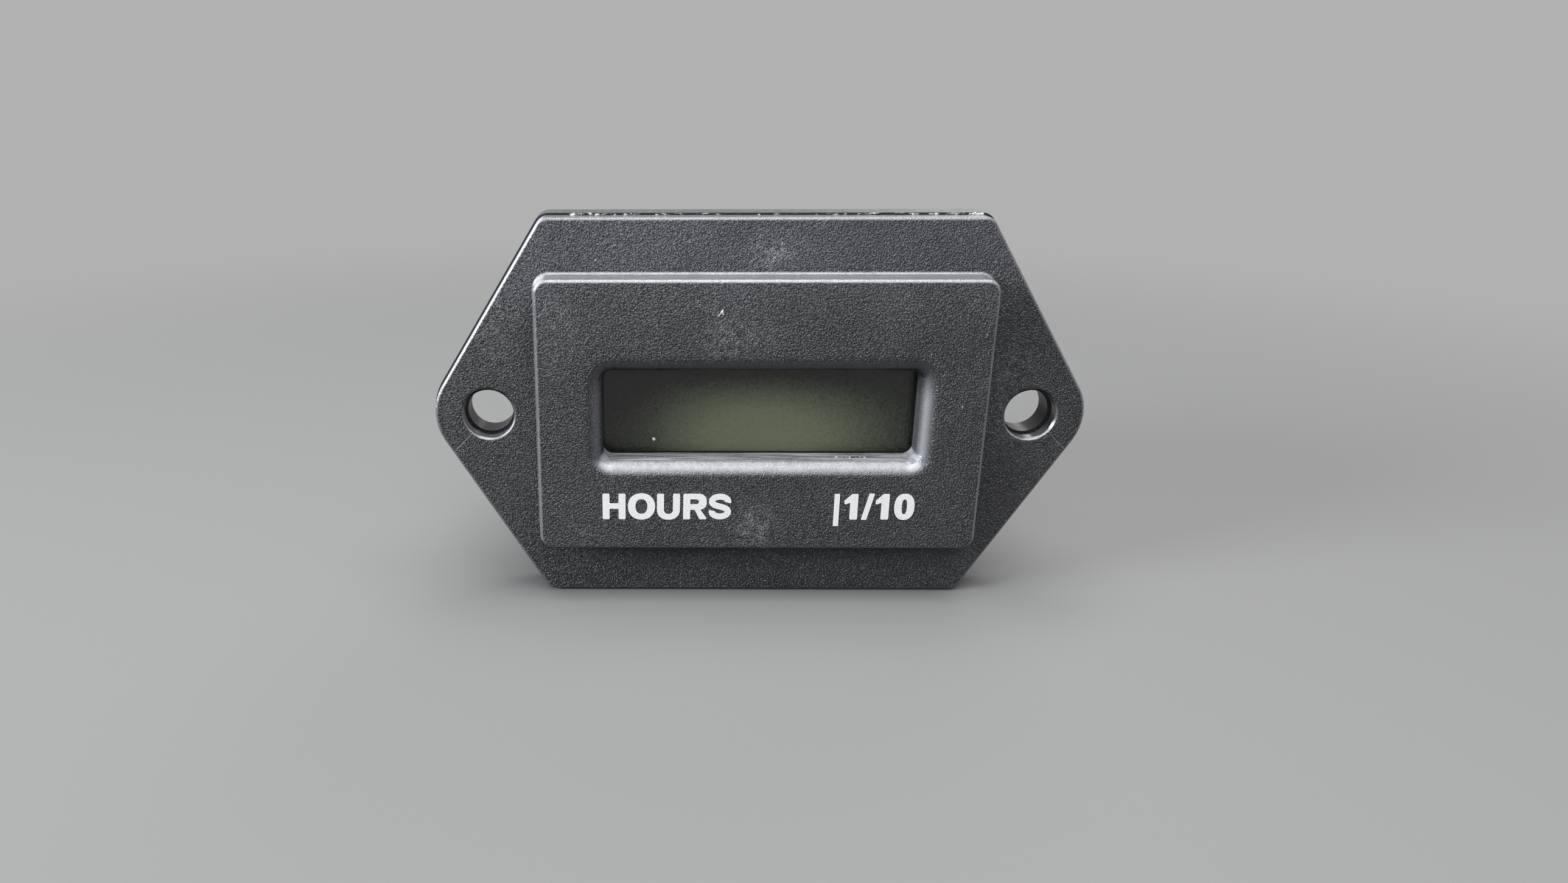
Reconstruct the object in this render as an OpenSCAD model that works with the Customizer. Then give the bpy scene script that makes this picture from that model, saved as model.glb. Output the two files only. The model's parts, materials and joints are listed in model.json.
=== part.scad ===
// Two-hole panel hour meter with a liquid crystal display, in millimetres.
// The origin is midway between the screw holes, on the face that seats on the panel.
// +X is right as seen from the front, +Y goes back into the panel and +Z is up.

/* [Flange] */
// Distance between the centres of the two screw holes
hole_spacing = 50.8; // [48:0.1:58]
// Diameter of the screw holes in the case flange
screw_hole_d = 4.3; // [3.2:0.1:5]
// Ledge left in each hole, where the bezel is drilled wider than the case
hole_ledge = 0.2; // [0.1:0.05:0.4]
// Chamfer on the front rim of the bezel holes
hole_chamfer = 0.2; // [0.05:0.05:0.4]
// Radius of the side tips, centred on the screw holes
tip_r = 5.08; // [4:0.01:6.5]
// Height of the bezel flange
flange_h = 36.6; // [33:0.1:42]
// Width of the top and bottom edges of the flange, between sharp corners
flange_edge_w = 40.2; // [36:0.1:44]
// Radius of the four corners at the ends of those edges
flange_corner_r = 1.2; // [0.6:0.1:3]
// Rounding of the front edge of the bezel flange
flange_edge_r = 0.35; // [0.1:0.05:0.5]
// Thickness of the bezel flange
bezel_flange_t = 1.58; // [1.2:0.02:2.6]
// Thickness of the case flange
case_flange_t = 2.38; // [1.6:0.02:4]
// How far the case flange stands out beyond the bezel flange
case_flange_margin = 0.2; // [0.05:0.05:0.6]

/* [Raised face] */
// Width of the raised face
face_w = 41.4; // [38.4:0.1:44]
// Height of the raised face
face_h = 26; // [22:0.02:29]
// Height of the middle of the raised face above the screw holes
face_z = 0.22; // [-0.6:0.02:0.8]
// How far the face stands in front of the flange
face_rise = 2.45; // [2:0.05:4]
// Radius of the corners of the raised face
face_corner_r = 1.3; // [0.8:0.1:3]
// Rounding of the front edge of the raised face
face_edge_r = 0.4; // [0.1:0.05:0.6]
// Radius of the hollow round the foot of the raised face
face_foot_r = 0.35; // [0.1:0.05:0.5]
// Wall left in front of the cored pockets behind the raised face
face_wall = 1.6; // [1:0.1:2.4]

/* [Window] */
// Width of the window opening
window_w = 29.3; // [27:0.1:31]
// Height of the window opening
window_h = 8.6; // [7.6:0.1:9.6]
// Height of the middle of the window above the screw holes
window_z = 0.4; // [-0.6:0.02:0.8]
// Corner radius of the window opening
window_corner_r = 0.95; // [0.5:0.05:1.6]
// Radius of the rolled edge round the window
window_roll_r = 1.41; // [0.8:0.01:1.8]
// How far the straight wall behind the rolled edge cuts into it
roll_cut = 0.04; // [0.02:0.01:0.1]

/* [Lens and display] */
// Thickness of the lens
lens_t = 1; // [0.8:0.1:1.4]
// How far the lens reaches past the window on each side
lens_seat = 1.8; // [1.2:0.1:2.4]
// Clearance round the lens in its rebate
lens_clear = 0.2; // [0.05:0.05:0.4]
// Corner radius of the lens
lens_corner_r = 0.8; // [0.4:0.1:1.5]
// Air gap between the lens and the display
lens_gap = 0.18; // [0.05:0.01:0.3]
// Rib between the lens rebate and each cored pocket
rebate_rib = 1.2; // [0.8:0.1:1.6]
// Thickness of the front polariser
polariser_t = 0.2; // [0.1:0.05:0.4]
// Thickness of each display glass
glass_t = 0.7; // [0.5:0.05:1.1]
// Thickness of the rear film with its reflector
reflector_t = 0.25; // [0.1:0.05:0.5]
// How far the display glass reaches past the window at each side
glass_margin_x = 0.95; // [0.6:0.05:1.4]
// How far the rear glass reaches past the window at top and bottom
glass_margin_z = 1.2; // [0.8:0.05:1.6]
// Depth of the contact ledges of the front glass
glass_ledge = 2.6; // [2.4:0.05:3.2]
// How far the films stop short of the edges of the rear glass
film_inset = 0.3; // [0.1:0.05:0.6]

/* [Display holder] */
// Clearance round the glass in the holder
holder_clear = 0.1; // [0.05:0.05:0.2]
// Wall of the holder beside the glass
holder_wall = 0.8; // [0.6:0.05:1.2]
// Bar of the holder above and below the glass
holder_bar = 1.9; // [1.6:0.1:2.6]
// Floor of the holder behind the glass
holder_floor = 1; // [0.6:0.1:1.6]
// Gap between that floor and the circuit board
board_gap = 2.3; // [1.4:0.1:4]
// Thickness of the zebra strips
zebra_w = 1.5; // [1:0.1:1.8]
// How far the zebra strips stop short of each end of the glass
zebra_end = 0.8; // [0.5:0.1:2]
// Radius of the two pegs that locate the holder on the board
peg_r = 0.6; // [0.4:0.05:0.7]
// Distance of the pegs from the top and bottom edges of the holder
peg_edge = 0.9; // [0.8:0.05:1]
// Distance of the pegs from the middle of the holder
peg_x = 11; // [8:0.5:13]
// How far the pegs stand out behind the board
peg_proud = 0.4; // [0.1:0.1:1]

/* [Case] */
// Clearance between the holder and the inside of the case
cavity_clear = 0.15; // [0.05:0.05:0.3]
// Wall of the case
case_wall = 1.5; // [1.2:0.1:2]
// Depth of the case behind the panel
case_depth = 19; // [17:0.5:30]
// Outer corner radius of the case
case_corner_r = 1.5; // [1:0.1:2.5]
// Rounding of the rear edges of the case
case_edge_r = 0.6; // [0.2:0.1:0.9]
// Inner corner radius of the case
cavity_corner_r = 0.5; // [0.2:0.1:1]
// Thickness of the corner posts that carry the board
post_w = 2; // [1.4:0.1:2.4]

/* [Circuit board] */
// Thickness of the board
board_t = 1.6; // [1:0.1:2.4]
// Clearance between the board and the inside of the case
board_clear = 0.2; // [0.1:0.05:0.4]
// Clearance of pegs and tails in the board
board_hole_clear = 0.08; // [0.04:0.02:0.15]
// Length of the controller chip
controller_l = 8.2; // [6.6:0.1:9]
// Width of the controller chip
controller_w = 5.3; // [4:0.1:5.6]
// Length of the memory chip
memory_l = 4.9; // [3:0.1:5.2]
// Width of the memory chip
memory_w = 3.9; // [3:0.1:4.4]
// Length of the bridge rectifier
bridge_l = 4.7; // [4:0.1:5.2]
// Width of the bridge rectifier
bridge_w = 3.8; // [3:0.1:4]
// Height of the chips
chip_h = 1.6; // [1.2:0.1:2.4]
// Height of the bridge rectifier
bridge_h = 2.4; // [1.4:0.1:3]
// Diameter of the watch crystal
crystal_d = 2; // [1.4:0.1:3]
// Length of the watch crystal
crystal_l = 6; // [4:0.1:6.4]
// Diameter of the smoothing capacitor
capacitor_d = 5; // [4:0.1:5.2]
// Height of the smoothing capacitor
capacitor_h = 5.6; // [4:0.1:8]
// Length of the dropper resistors
resistor_l = 5; // [3:0.1:5.4]
// Width of the dropper resistors
resistor_w = 2.5; // [1.5:0.1:2.8]
// Height of the dropper resistors
resistor_h = 0.6; // [0.4:0.05:1]
// Diameter of the varistor
varistor_d = 5.6; // [4:0.1:6.4]
// Thickness of the varistor
varistor_t = 2.4; // [1.6:0.1:2.8]

/* [Terminals] */
// Distance between the two terminals
terminal_spacing = 16; // [15:0.1:17]
// Width of the terminal blades
blade_w = 6.3; // [4.8:0.1:6.6]
// Thickness of the terminal blades
blade_t = 0.8; // [0.5:0.05:0.9]
// How far the blades stand out behind the case
blade_reach = 8.5; // [6:0.1:11]
// Diameter of the hole in each blade
blade_hole_d = 1.7; // [1:0.1:2.2]
// Distance of that hole from the tip of the blade
blade_hole_tip = 3.6; // [2.5:0.1:4.5]
// Taper at the tip of each blade
blade_taper = 1; // [0.4:0.1:1.8]
// How far the shoulders of a terminal stand out past its blade
shoulder = 1; // [0.5:0.1:1.4]
// Length of those shoulders
shoulder_l = 1.2; // [0.8:0.1:2]
// Width of the tail that runs to the board
tail_w = 2; // [1:0.1:2.4]
// How far the tails stand out in front of the board
tail_proud = 0.5; // [0.2:0.1:1]
// Clearance of the blades in the rear wall
slot_clear = 0.06; // [0.02:0.02:0.15]

/* [Hidden] */
$fn = 64;

// How far a cutting shape runs past the faces that it opens
over = 1;

// Facets round each corner disc of the flange
blend_fn = 48;

// Small angle at which a rolled edge or a hollow runs out into a flat face
blend_exit = 6;

// Stack of layers from the panel forwards
joint_y = -case_flange_t;
flange_front_y = joint_y - bezel_flange_t;
face_front_y = flange_front_y - face_rise;
lens_rear_y = joint_y - polariser_t - lens_gap;
lens_front_y = lens_rear_y - lens_t;

// Stack of layers from the bezel backwards
front_glass_rear_y = joint_y + glass_t;
rear_glass_rear_y = front_glass_rear_y + glass_t;
reflector_rear_y = rear_glass_rear_y + reflector_t;
floor_rear_y = reflector_rear_y + holder_floor;
board_front_y = floor_rear_y + board_gap;
board_rear_y = board_front_y + board_t;
rear_wall_y = case_depth - case_wall;

// Screw holes and the six-sided outline whose sides run tangent to the tip arcs
hole_x = hole_spacing / 2;
bezel_hole_r = screw_hole_d / 2 + hole_ledge;
side_run = hole_x - flange_edge_w / 2;
side_slope = atan2(flange_h / 2, side_run)
    - asin(tip_r / norm([side_run, flange_h / 2]));
side_x = flange_edge_w / 2 + flange_h / 2 / tan(side_slope);

// Window, lens and display
lens_w = window_w + 2 * lens_seat;
lens_h = window_h + 2 * lens_seat;
glass_w = window_w + 2 * glass_margin_x;
rear_glass_h = window_h + 2 * glass_margin_z;
front_glass_h = rear_glass_h + 2 * glass_ledge;
film_w = glass_w - 2 * film_inset;
film_h = rear_glass_h - 2 * film_inset;
zebra_l = glass_w - 2 * zebra_end;
zebra_z = front_glass_h / 2 - holder_clear - zebra_w / 2;

// Holder, case and board, each sized to take the one inside it
holder_w = glass_w + 2 * (holder_clear + holder_wall);
holder_h = front_glass_h + 2 * (holder_clear + holder_bar);
cavity_w = holder_w + 2 * cavity_clear;
cavity_h = holder_h + 2 * cavity_clear;
case_w = cavity_w + 2 * case_wall;
case_h = cavity_h + 2 * case_wall;
board_w = cavity_w - 2 * board_clear;
board_h = cavity_h - 2 * board_clear;
peg_z = holder_h / 2 - peg_edge;

// Places on the board: a column beside each terminal tail, and rows above and below the middle.
// The memory chip and the varistor share the lower row between the tails.
part_gap = 1;
column_x = (terminal_spacing / 2 + board_w / 2) / 2;
row_z = board_h / 4;
memory_x = -(part_gap + varistor_t) / 2;
varistor_x = (part_gap + memory_l) / 2;
resistor_pitch = resistor_w + part_gap;

// Chip leads
lead_t = 0.15;
lead_w = 0.4;
lead_pitch = 1.27;
bridge_leads = 2;
lead_knee = 0.35;
lead_foot = 1;
chip_standoff = 0.1;

// Wires of the watch crystal and of the varistor
crystal_wire_r = 0.15;
crystal_wire_bend = 0.45;
crystal_lift = 0.1;
varistor_wire_r = 0.3;
varistor_lift = 0.8;
varistor_edge_r = 0.6;

// Capacitor seat and crimp, resistor end caps
capacitor_base_t = 0.8;
capacitor_base_margin = 0.15;
capacitor_base_cut = 0.9;
capacitor_edge_r = 0.4;
capacitor_crimp = 0.2;
capacitor_crimp_z = 1.6;
cap_end_l = 0.5;
cap_end_proud = 0.05;

black_plastic = [0.13, 0.13, 0.14];
dark_plastic = [0.09, 0.09, 0.1];
clear_lens = [0.75, 0.78, 0.75, 0.35];
olive_film = [0.15, 0.17, 0.11];
pale_glass = [0.6, 0.7, 0.65, 0.5];
grey_film = [0.45, 0.48, 0.42];
white_plastic = [0.85, 0.85, 0.82];
grey_rubber = [0.35, 0.35, 0.36];
board_green = [0.1, 0.33, 0.18];
chip_black = [0.12, 0.12, 0.12];
bright_metal = [0.75, 0.75, 0.76];
tinned_brass = [0.78, 0.74, 0.62];
varistor_blue = [0.15, 0.3, 0.55];

// Draws in front view, with the drawing plane at depth y and heights towards the viewer
module facing_front(y) {
    translate([0, y, 0])
        rotate([90, 0, 0])
            children();
}

// Draws in rear view, with the drawing plane at depth y and heights away from the viewer
module facing_back(y) {
    translate([0, y, 0])
        rotate([-90, 0, 0])
            children();
}

// Corners of a rectangle, anticlockwise, each as x, y and corner radius
function rectangle(w, h, r, y = 0) = [
    [-w / 2, y - h / 2, r],
    [w / 2, y - h / 2, r],
    [w / 2, y + h / 2, r],
    [-w / 2, y + h / 2, r]
];

// Corners of the flange grown by a margin; the side tips stay centred on the screw holes
function flange_outline(margin) =
    let (
        half_h = flange_h / 2 + margin,
        half_w = flange_edge_w / 2 + margin * tan(side_slope / 2),
        tip_x = side_x + margin / sin(side_slope),
        r = flange_corner_r + margin,
        tip = tip_r + margin
    ) [
        [-half_w, -half_h, r],
        [half_w, -half_h, r],
        [tip_x, 0, tip],
        [half_w, half_h, r],
        [-half_w, half_h, r],
        [-tip_x, 0, tip]
    ];

function point(corner) = [corner.x, corner.y];
function unit(v) = v / norm(v);
function before(outline, i) = outline[(i + len(outline) - 1) % len(outline)];
function after(outline, i) = outline[(i + 1) % len(outline)];
function towards_before(outline, i) = unit(point(before(outline, i)) - point(outline[i]));
function towards_after(outline, i) = unit(point(after(outline, i)) - point(outline[i]));
function half_angle(outline, i) =
    acos(towards_before(outline, i) * towards_after(outline, i)) / 2;
function arc_centre(outline, i) =
    point(outline[i])
    + unit(towards_before(outline, i) + towards_after(outline, i))
    * outline[i].z / sin(half_angle(outline, i));

// Ends of the arc at a corner
function arc_start(outline, i) =
    let (v = towards_before(outline, i))
    arc_centre(outline, i) + [-v.y, v.x] * outline[i].z;
function arc_end(outline, i) =
    let (v = towards_after(outline, i))
    arc_centre(outline, i) + [v.y, -v.x] * outline[i].z;

// Flat shape with round corners: its chords, with a disc at each corner
module rounded_shape(outline) {
    steps = [for (i = [0:len(outline) - 1]) i];
    polygon([for (i = steps) each [arc_start(outline, i), arc_end(outline, i)]]);
    for (i = steps)
        translate(arc_centre(outline, i))
            circle(outline[i].z);
}

// Plate with round corners
module round_plate(outline, t) {
    linear_extrude(t)
        rounded_shape(outline);
}

// Half section of a plate from its middle to a rim at r, with the radius e along its upper edge
// and a hollow of the radius foot_r along its foot. It is rooted below height 0 by the depth root.
module half_section(r, t, e, foot_r = 0, root = 0) {
    translate([0, -root]) {
        square([r - e, root + t]);
        square([r, root + t - e]);
    }
    translate([r - e, t - e])
        intersection() {
            circle(e);
            square(e);
        }
    if (foot_r > 0) {
        reach = foot_r * cos(blend_exit);
        difference() {
            translate([r - reach, 0])
                square([2 * reach, reach]);
            translate([r + reach, reach])
                circle(foot_r);
        }
    }
}

// Rectangular form with round corners, crossed from two bars with a turned disc at each corner.
// The child draws half of its section, from the middle out to the distance $half.
module crossed_bars(w, h, r, z = 0) {
    translate([0, z, 0]) {
        for (bar = [[0, w / 2, h - 2 * r], [90, h / 2, w - 2 * r]]) {
            $half = bar[1];
            rotate(bar[0])
                rotate([90, 0, 0])
                    linear_extrude(bar[2], center = true)
                        for (side = [0, 1])
                            mirror([side, 0])
                                children();
        }
        for (x = [-1, 1], y = [-1, 1]) {
            $half = r;
            translate([x * (w / 2 - r), y * (h / 2 - r), 0])
                rotate_extrude()
                    children();
        }
    }
}

// Six-sided flange blended over a disc at each corner, with the radius e along its front edge
module flange_plate(margin, t, e = 0) {
    outline = flange_outline(margin);
    hull()
        for (i = [0:len(outline) - 1])
            translate(arc_centre(outline, i))
                if (e > 0)
                    rotate_extrude($fn = blend_fn)
                        half_section(outline[i].z, t, e);
                else
                    cylinder(r = outline[i].z, h = t, $fn = blend_fn);
}

// Half section of the window opening, from its middle to the rolled edge round it.
// Height 0 is the front of the raised face.
module window_section(half) {
    depth = bezel_flange_t + face_rise + over;
    lift = window_roll_r * (1 - cos(blend_exit));
    translate([0, -depth])
        square([half, depth + over]);
    translate([half, 0])
        difference() {
            translate([-half, -window_roll_r])
                square([half + window_roll_r - roll_cut, window_roll_r + over]);
            translate([window_roll_r - roll_cut, lift - window_roll_r])
                circle(window_roll_r);
        }
}

// Cored pocket behind the raised face, above the lens rebate for side 1 and below it for side -1
module core_pocket(side) {
    rebate_edge = window_z + side * (lens_h / 2 + lens_clear + rebate_rib);
    face_edge = face_z + side * (face_h / 2 - face_wall);
    pocket_h = side * (face_edge - rebate_edge);
    facing_front(joint_y + over)
        round_plate(
            rectangle(face_w - 2 * face_wall, pocket_h, lens_corner_r, (face_edge + rebate_edge) / 2),
            joint_y + over - face_front_y - face_wall
        );
}

// Moulded bezel: six-sided flange, raised face, rolled window edge and lens rebate
module front_bezel() {
    color(black_plastic)
        difference() {
            union() {
                facing_front(joint_y)
                    flange_plate(0, bezel_flange_t, flange_edge_r);
                facing_front(flange_front_y)
                    crossed_bars(face_w, face_h, face_corner_r, face_z)
                        half_section($half, face_rise, face_edge_r, face_foot_r, bezel_flange_t / 2);
            }
            facing_front(face_front_y)
                crossed_bars(window_w, window_h, window_corner_r, window_z)
                    window_section($half);
            facing_front(joint_y + over)
                round_plate(
                    rectangle(lens_w + 2 * lens_clear, lens_h + 2 * lens_clear, lens_corner_r,
                              window_z),
                    joint_y + over - lens_front_y
                );
            core_pocket(1);
            core_pocket(-1);
            for (side = [-1, 1])
                translate([side * hole_x, 0, 0])
                    facing_front(joint_y) {
                        translate([0, 0, -over])
                            cylinder(r = bezel_hole_r, h = bezel_flange_t + 2 * over);
                        translate([0, 0, bezel_flange_t - hole_chamfer])
                            cylinder(r1 = bezel_hole_r, r2 = bezel_hole_r + hole_chamfer + over,
                                     h = hole_chamfer + over);
                    }
        }
}

// Room inside the case, with a post left standing in each corner behind the board
module case_cavity() {
    difference() {
        facing_back(joint_y - over)
            round_plate(rectangle(cavity_w, cavity_h, cavity_corner_r),
                        rear_wall_y - joint_y + over);
        for (x = [-1, 1], z = [-1, 1])
            translate([x * cavity_w / 2, (board_rear_y + rear_wall_y + over) / 2, z * cavity_h / 2])
                cube([2 * post_w, rear_wall_y + over - board_rear_y, 2 * post_w], center = true);
    }
}

// Moulded case: flange, box behind the panel, posts for the board and slots for the terminals
module rear_case() {
    color(dark_plastic)
        difference() {
            union() {
                facing_front(0)
                    flange_plate(case_flange_margin, case_flange_t);
                facing_back(0)
                    crossed_bars(case_w, case_h, case_corner_r)
                        half_section($half, case_depth, case_edge_r, 0, case_flange_t / 2);
            }
            case_cavity();
            for (side = [-1, 1]) {
                translate([side * hole_x, 0, 0])
                    facing_front(over)
                        cylinder(d = screw_hole_d, h = case_flange_t + 2 * over);
                translate([side * terminal_spacing / 2, rear_wall_y + case_wall / 2, 0])
                    cube([blade_t + 2 * slot_clear, case_wall + 2 * over, blade_w + 2 * slot_clear],
                         center = true);
            }
        }
}

// Clear lens in its rebate behind the window
module window_lens() {
    color(clear_lens)
        facing_front(lens_rear_y)
            round_plate(rectangle(lens_w, lens_h, lens_corner_r, window_z), lens_t);
}

// One flat layer of the display, with its front at depth y
module display_layer(w, h, t, y) {
    translate([0, y + t / 2, window_z])
        cube([w, t, h], center = true);
}

module lcd_front_polariser() {
    color(olive_film)
        display_layer(film_w, film_h, polariser_t, joint_y - polariser_t);
}

// The front glass is taller than the rear one, so its ledges meet the zebra strips
module lcd_front_glass() {
    color(pale_glass)
        display_layer(glass_w, front_glass_h, glass_t, joint_y);
}

module lcd_rear_glass() {
    color(pale_glass)
        display_layer(glass_w, rear_glass_h, glass_t, front_glass_rear_y);
}

module lcd_reflector() {
    color(grey_film)
        display_layer(film_w, film_h, reflector_t, rear_glass_rear_y);
}

// Frame that holds the glass and the zebra strips in front of the board
module display_holder() {
    pocket_w = glass_w + 2 * holder_clear;
    recess_h = rear_glass_h - 2 * holder_wall;
    color(white_plastic) {
        difference() {
            translate([0, (joint_y + board_front_y) / 2, 0])
                cube([holder_w, board_front_y - joint_y, holder_h], center = true);
            display_layer(pocket_w, front_glass_h + 2 * holder_clear, glass_t + over, joint_y - over);
            display_layer(pocket_w, rear_glass_h + 2 * holder_clear,
                          reflector_rear_y - front_glass_rear_y + over, front_glass_rear_y - over);
            display_layer(glass_w - 2 * holder_wall, recess_h, board_gap + over, floor_rear_y);
            for (side = [-1, 1])
                translate([0, 0, side * zebra_z])
                    display_layer(zebra_l + 2 * holder_clear, zebra_w + 2 * holder_clear,
                                  board_front_y - front_glass_rear_y + 2 * over,
                                  front_glass_rear_y - over);
        }
        for (side = [-1, 1])
            translate([side * peg_x, 0, side * peg_z])
                facing_back(board_front_y)
                    cylinder(r = peg_r, h = board_t + peg_proud);
    }
}

// Rubber strip from a ledge of the front glass to the board, above the display for side 1
module zebra_strip(side) {
    color(grey_rubber)
        translate([0, 0, side * zebra_z])
            display_layer(zebra_l, zebra_w, board_front_y - front_glass_rear_y, front_glass_rear_y);
}

module upper_zebra_strip() {
    zebra_strip(1);
}

module lower_zebra_strip() {
    zebra_strip(-1);
}

// Board with holes for the pegs of the holder and slots for the tails of the terminals
module circuit_board() {
    hole_l = board_t + 2 * over;
    color(board_green)
        difference() {
            translate([0, board_front_y + board_t / 2, 0])
                cube([board_w, board_t, board_h], center = true);
            for (side = [-1, 1]) {
                translate([side * peg_x, 0, side * peg_z])
                    facing_back(board_front_y - over)
                        cylinder(r = peg_r + board_hole_clear, h = hole_l);
                translate([side * terminal_spacing / 2, board_front_y + board_t / 2, 0])
                    cube([blade_t + 2 * board_hole_clear, hole_l, tail_w + 2 * board_hole_clear],
                         center = true);
            }
        }
}

// Puts a component on the back of the board, at x and z, with its height pointing backwards
module on_board(x, z) {
    translate([x, 0, z])
        facing_back(board_rear_y)
            children();
}

// Leads that fit along a chip of length l
function leads_along(l) = round(l / lead_pitch);

// Chip of length l, width w and height h, with bent leads along both long sides
module leaded_chip(l, w, h, leads) {
    shoulder_z = h / 2;
    translate([0, 0, (h + chip_standoff) / 2])
        cube([l, w, h - chip_standoff], center = true);
    for (side = [0, 180], i = [0:leads - 1])
        rotate(side)
            translate([(i - (leads - 1) / 2) * lead_pitch - lead_w / 2, w / 2, 0])
                rotate([90, 0, 90])
                    linear_extrude(lead_w)
                        polygon([
                            [0, shoulder_z],
                            [lead_knee, shoulder_z],
                            [lead_knee, 0],
                            [lead_foot, 0],
                            [lead_foot, lead_t],
                            [lead_knee + lead_t, lead_t],
                            [lead_knee + lead_t, shoulder_z + lead_t],
                            [0, shoulder_z + lead_t]
                        ]);
}

module controller_chip() {
    color(chip_black)
        on_board(0, row_z)
            leaded_chip(controller_l, controller_w, chip_h, leads_along(controller_l));
}

module memory_chip() {
    color(chip_black)
        on_board(memory_x, -row_z)
            leaded_chip(memory_l, memory_w, chip_h, leads_along(memory_l));
}

module bridge_rectifier() {
    color(chip_black)
        on_board(-column_x, row_z)
            leaded_chip(bridge_l, bridge_w, bridge_h, bridge_leads);
}

// Can of the watch crystal, lying on the board with its two wires bent down to it
module watch_crystal() {
    axis_z = crystal_d / 2 + crystal_lift;
    wire_x = crystal_d / 4;
    color(bright_metal)
        on_board(column_x, row_z)
            translate([0, -crystal_l / 2, 0]) {
                translate([0, 0, axis_z])
                    rotate([-90, 0, 0])
                        cylinder(d = crystal_d, h = crystal_l);
                for (side = [-1, 1])
                    translate([side * wire_x, crystal_l, axis_z - crystal_wire_bend]) {
                        rotate([90, 0, 90])
                            rotate_extrude(angle = 90)
                                translate([crystal_wire_bend, 0])
                                    circle(crystal_wire_r);
                        translate([0, crystal_wire_bend, crystal_wire_bend - axis_z])
                            cylinder(r = crystal_wire_r, h = axis_z - crystal_wire_bend);
                    }
            }
}

// Capacitor can turned from its section, with a crimp, on a square seat with two cut corners
module smoothing_capacitor() {
    can_r = capacitor_d / 2;
    seat_w = capacitor_d + 2 * capacitor_base_margin;
    can_h = capacitor_h - capacitor_base_t;
    color(bright_metal)
        on_board(-column_x, -row_z) {
            linear_extrude(capacitor_base_t)
                polygon([
                    [-seat_w / 2, -seat_w / 2],
                    [seat_w / 2 - capacitor_base_cut, -seat_w / 2],
                    [seat_w / 2, capacitor_base_cut - seat_w / 2],
                    [seat_w / 2, seat_w / 2 - capacitor_base_cut],
                    [seat_w / 2 - capacitor_base_cut, seat_w / 2],
                    [-seat_w / 2, seat_w / 2]
                ]);
            translate([0, 0, capacitor_base_t])
                rotate_extrude()
                    difference() {
                        half_section(can_r, can_h, capacitor_edge_r);
                        translate([can_r + capacitor_crimp / 2, capacitor_crimp_z])
                            circle(capacitor_crimp);
                    }
        }
}

// Ceramic resistor with its two metal ends
module dropper_resistor(z) {
    color(chip_black)
        on_board(column_x, z) {
            translate([0, 0, cap_end_proud + resistor_h / 2])
                cube([resistor_l - 2 * cap_end_l, resistor_w, resistor_h], center = true);
            for (side = [-1, 1])
                translate([side * (resistor_l - cap_end_l) / 2, 0, cap_end_proud + resistor_h / 2])
                    cube([cap_end_l, resistor_w, resistor_h + 2 * cap_end_proud], center = true);
        }
}

module upper_dropper_resistor() {
    dropper_resistor(resistor_pitch / 2 - row_z);
}

module lower_dropper_resistor() {
    dropper_resistor(-resistor_pitch / 2 - row_z);
}

// Disc of the varistor, standing on its two wires
module varistor() {
    disc_r = varistor_d / 2;
    axis_z = varistor_lift + disc_r;
    wire_y = disc_r / 2;
    color(varistor_blue)
        on_board(varistor_x, -row_z) {
            for (side = [-90, 90])
                translate([0, 0, axis_z])
                    rotate([0, side, 0])
                        rotate_extrude()
                            half_section(disc_r, varistor_t / 2, varistor_edge_r);
            for (side = [-1, 1])
                translate([0, side * wire_y, 0])
                    cylinder(r = varistor_wire_r, h = axis_z);
        }
}

// Blade, shoulders that seat on the rear wall and tail to the board, cut from one strip
module terminal(side) {
    tip_y = case_depth + blade_reach;
    half = [
        [tail_w / 2, board_front_y - tail_proud],
        [tail_w / 2, rear_wall_y - shoulder_l],
        [blade_w / 2 + shoulder, rear_wall_y - shoulder_l],
        [blade_w / 2 + shoulder, rear_wall_y],
        [blade_w / 2, rear_wall_y],
        [blade_w / 2, tip_y - blade_taper],
        [blade_w / 2 - blade_taper, tip_y]
    ];
    color(tinned_brass)
        translate([side * terminal_spacing / 2, 0, 0])
            rotate([0, -90, 0])
                linear_extrude(blade_t, center = true)
                    difference() {
                        polygon([
                            each half,
                            for (i = [len(half) - 1:-1:0]) [-half[i].x, half[i].y]
                        ]);
                        translate([0, tip_y - blade_hole_tip])
                            circle(d = blade_hole_d);
                    }
}

module left_terminal() {
    terminal(-1);
}

module right_terminal() {
    terminal(1);
}

front_bezel();
rear_case();
window_lens();
lcd_front_polariser();
lcd_front_glass();
lcd_rear_glass();
lcd_reflector();
display_holder();
upper_zebra_strip();
lower_zebra_strip();
circuit_board();
controller_chip();
memory_chip();
watch_crystal();
bridge_rectifier();
smoothing_capacitor();
upper_dropper_resistor();
lower_dropper_resistor();
varistor();
left_terminal();
right_terminal();
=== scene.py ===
# %% [markdown]
# # Dressing a panel hour meter
# The meter is a small instrument that two screws hold on a machine's panel. A black moulded front with
# a raised face frames a liquid crystal display, a plain case stands behind the panel, and two flat
# blades at its back take the wires. The solids come with the frame, at their real size, so this lesson
# only adds what a solid can't say: light, finishes, printed words, and the marks of moulding and use.

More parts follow.
